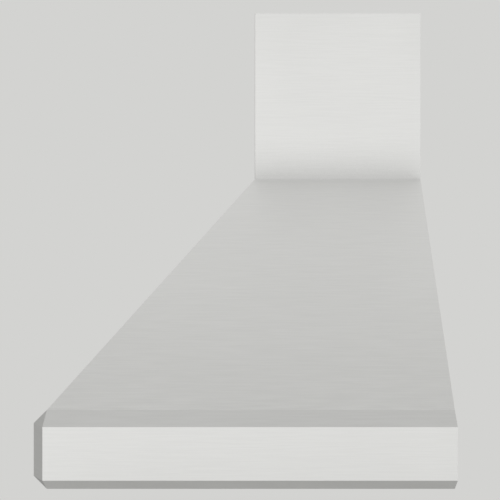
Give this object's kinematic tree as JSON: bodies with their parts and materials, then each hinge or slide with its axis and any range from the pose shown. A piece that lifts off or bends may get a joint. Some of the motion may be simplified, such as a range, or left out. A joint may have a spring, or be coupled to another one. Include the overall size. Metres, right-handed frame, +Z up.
{
  "type": "wall-mount range hood",
  "caption": "Wall-mount range hood: sloped canopy over a chamfered band, square duct cover, drop-down baffle filters, blower, damper, lamps and rotary controls.",
  "frame": {"origin": "bottom centre of the wall face, in the plane of the wall", "axes": "+X along the wall toward the hood's right side as seen when facing away from the wall's plane, +Y out of the hood's back into the wall, +Z up"},
  "size_m": [0.9144, 0.6096, 0.762],
  "materials": {
    "stainless_sheet": "satin brushed",
    "filter_steel": "polished",
    "galvanised_sheet": "galvanised",
    "screw_steel": "zinc plated",
    "spring_steel": "bright",
    "knob_steel": "turned satin",
    "motor_enamel": "satin",
    "capacitor_case": "matt",
    "switch_plastic": "matt",
    "lamp_glass": "frosted",
    "lamp_can_aluminium": "satin",
    "led_board": "matt"
  },
  "bodies": {
    "hood": {"canopy_band": "stainless_sheet", "canopy_front_slope": "stainless_sheet", "canopy_left_slope": "stainless_sheet", "canopy_right_slope": "stainless_sheet", "canopy_top_plate": "stainless_sheet", "duct_cover": "stainless_sheet", "back_panel": "galvanised_sheet", "cover_wall_bracket": "galvanised_sheet", "cover_screws": "screw_steel", "duct_collar": "galvanised_sheet", "collar_rivets": "screw_steel", "damper_rod": "screw_steel", "scroll_wrapper": "galvanised_sheet", "scroll_side_left": "galvanised_sheet", "scroll_side_right": "galvanised_sheet", "outlet_adapter": "galvanised_sheet", "motor_body": "motor_enamel", "motor_bracket": "galvanised_sheet", "blower_bracket": "galvanised_sheet", "blower_screws": "screw_steel", "capacitor": "capacitor_case", "capacitor_clip": "galvanised_sheet", "control_rail": "stainless_sheet", "light_switch": "switch_plastic", "speed_switch": "switch_plastic", "liner_left": "stainless_sheet", "liner_right": "stainless_sheet", "grease_trough": "stainless_sheet", "filter_clips": "spring_steel", "wiring_box": "galvanised_sheet", "wiring_box_cover": "galvanised_sheet", "wiring_box_screws": "screw_steel", "lamp_left_bezel": "knob_steel", "lamp_left_lens": "lamp_glass", "lamp_left_can": "lamp_can_aluminium", "lamp_left_board": "led_board", "lamp_right_bezel": "knob_steel", "lamp_right_lens": "lamp_glass", "lamp_right_can": "lamp_can_aluminium", "lamp_right_board": "led_board"},
    "blower_wheel": {"impeller_disc": "galvanised_sheet", "impeller_blades": "galvanised_sheet", "impeller_rings": "galvanised_sheet", "motor_shaft": "screw_steel"},
    "front_flap": {"damper_flap_front": "galvanised_sheet"},
    "rear_flap": {"damper_flap_rear": "galvanised_sheet"},
    "light_dial": {"light_knob": "knob_steel"},
    "speed_dial": {"speed_knob": "knob_steel"},
    "cup": {"grease_cup": "stainless_sheet"},
    "filter_left": {"filter_left_frame": "filter_steel", "filter_left_baffles": "filter_steel", "filter_left_handle": "filter_steel"},
    "filter_centre": {"filter_centre_frame": "filter_steel", "filter_centre_baffles": "filter_steel", "filter_centre_handle": "filter_steel"},
    "filter_right": {"filter_right_frame": "filter_steel", "filter_right_baffles": "filter_steel", "filter_right_handle": "filter_steel"}
  },
  "joints": [
    {"name": "blower_spin", "type": "hinge", "parent": "hood", "child": "blower_wheel", "pos_m": [0, -0.21, 0.25], "axis": [1, 0, 0], "continuous": true},
    {"name": "front_flap_hinge", "type": "hinge", "parent": "hood", "child": "front_flap", "pos_m": [0, -0.1524, 0.4952], "axis": [-1, 0, 0], "range_deg": [0, 78]},
    {"name": "rear_flap_hinge", "type": "hinge", "parent": "hood", "child": "rear_flap", "pos_m": [0, -0.1524, 0.4952], "axis": [1, 0, 0], "range_deg": [0, 78]},
    {"name": "light_knob_turn", "type": "hinge", "parent": "hood", "child": "light_dial", "pos_m": [-0.06, -0.52065, 0.034], "axis": [0, 0, -1], "range_deg": [0, 180]},
    {"name": "speed_knob_turn", "type": "hinge", "parent": "hood", "child": "speed_dial", "pos_m": [0.06, -0.52065, 0.034], "axis": [0, 0, -1], "range_deg": [0, 270]},
    {"name": "cup_slide", "type": "slide", "parent": "hood", "child": "cup", "axis": [1, 0, 0], "range_m": [0, 0.115]},
    {"name": "filter_left_drop", "type": "hinge", "parent": "hood", "child": "filter_left", "pos_m": [-0.27583, -0.072, 0.062], "axis": [1, 0, 0], "range_deg": [0, 40]},
    {"name": "filter_centre_drop", "type": "hinge", "parent": "hood", "child": "filter_centre", "pos_m": [0, -0.072, 0.062], "axis": [1, 0, 0], "range_deg": [0, 40]},
    {"name": "filter_right_drop", "type": "hinge", "parent": "hood", "child": "filter_right", "pos_m": [0.27583, -0.072, 0.062], "axis": [1, 0, 0], "range_deg": [0, 40]}
  ]
}
